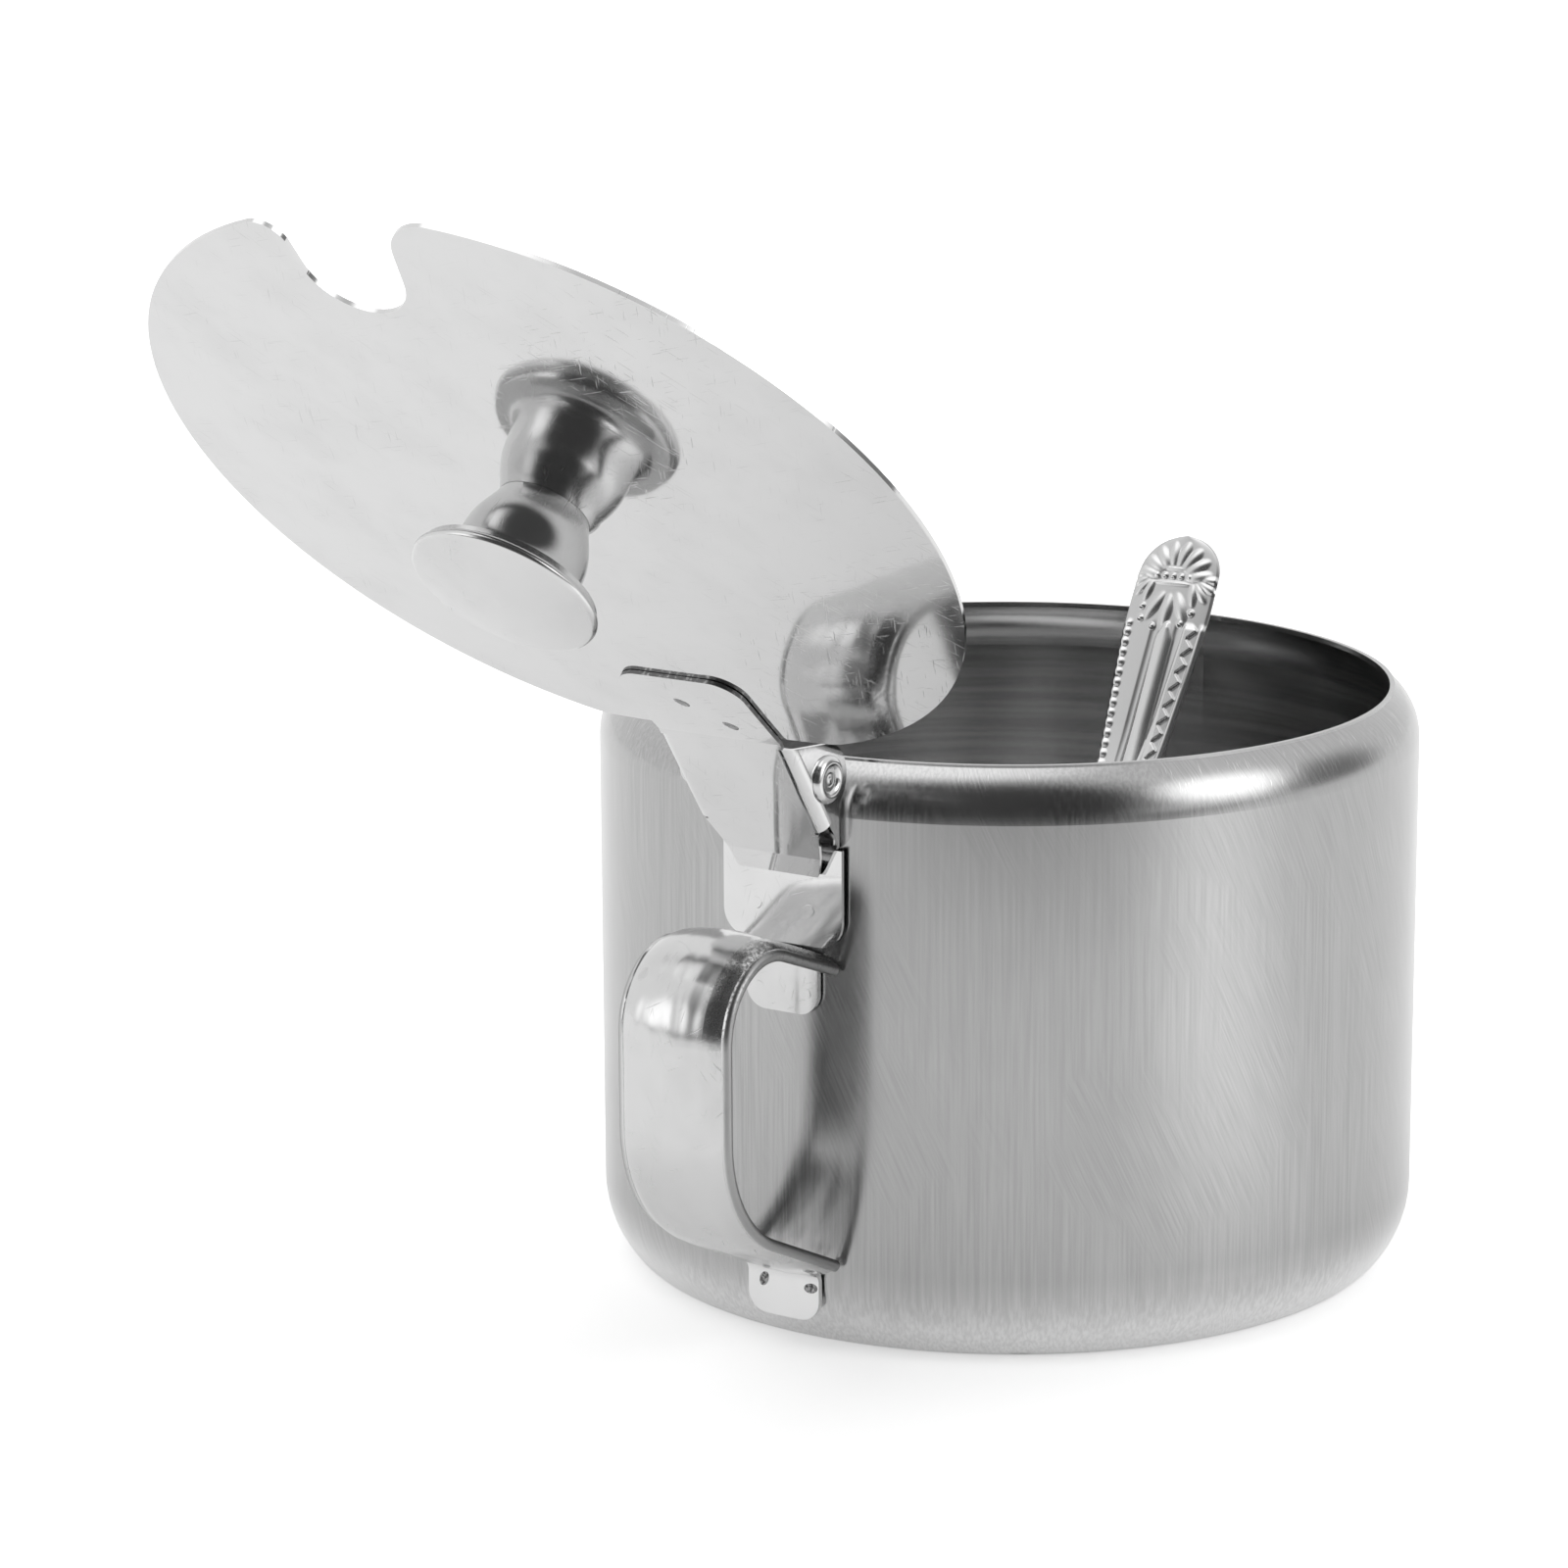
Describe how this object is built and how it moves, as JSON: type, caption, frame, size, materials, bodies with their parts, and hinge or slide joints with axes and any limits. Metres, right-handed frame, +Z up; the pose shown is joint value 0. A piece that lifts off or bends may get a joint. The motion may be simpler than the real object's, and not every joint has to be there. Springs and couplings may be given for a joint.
{
  "type": "seasoning jar with hinged lid",
  "caption": "Round steel seasoning pot with a strap handle, a slightly domed hinged lid with a knob, thumb lever and spoon notch, and a loose spoon leaning on its rim.",
  "frame": {"origin": "centre of the flat base, on the surface that the jar stands on", "axes": "+Z up, -X towards the handle and the hinge, +X towards the side where the lid's notch closes, Y along the hinge pin"},
  "size_m": [0.1783, 0.1, 0.1412],
  "materials": {
    "satin_steel": "fine upright satin grain outside, plain steel inside",
    "polished_steel": "polished",
    "mirror_steel": "mirror polished with faint scratches",
    "weld_steel": "bare weld mark"
  },
  "bodies": {
    "pot": {"pot_body": "satin_steel", "handle": "polished_steel", "handle_top_welds": "weld_steel", "handle_foot_welds": "weld_steel", "hinge_bracket": "polished_steel", "bracket_welds": "weld_steel"},
    "lid": {"lid_plate": "mirror_steel", "thumb_lever": "mirror_steel", "lever_welds": "weld_steel", "knob_stem": "polished_steel", "knob_cap": "mirror_steel", "knob_weld": "weld_steel", "hinge_pin": "polished_steel"},
    "loose_spoon": {"spoon": "polished_steel"}
  },
  "joints": [
    {"name": "lid_hinge", "type": "hinge", "parent": "pot", "child": "lid", "pos_m": [-0.0548, 0, 0.0704], "axis": [0, 1, 0], "range_deg": [0, 135]},
    {"name": "spoon_lift", "type": "slide", "parent": "pot", "child": "loose_spoon", "axis": [0, 0, 1], "range_m": [0, 0.1]}
  ]
}
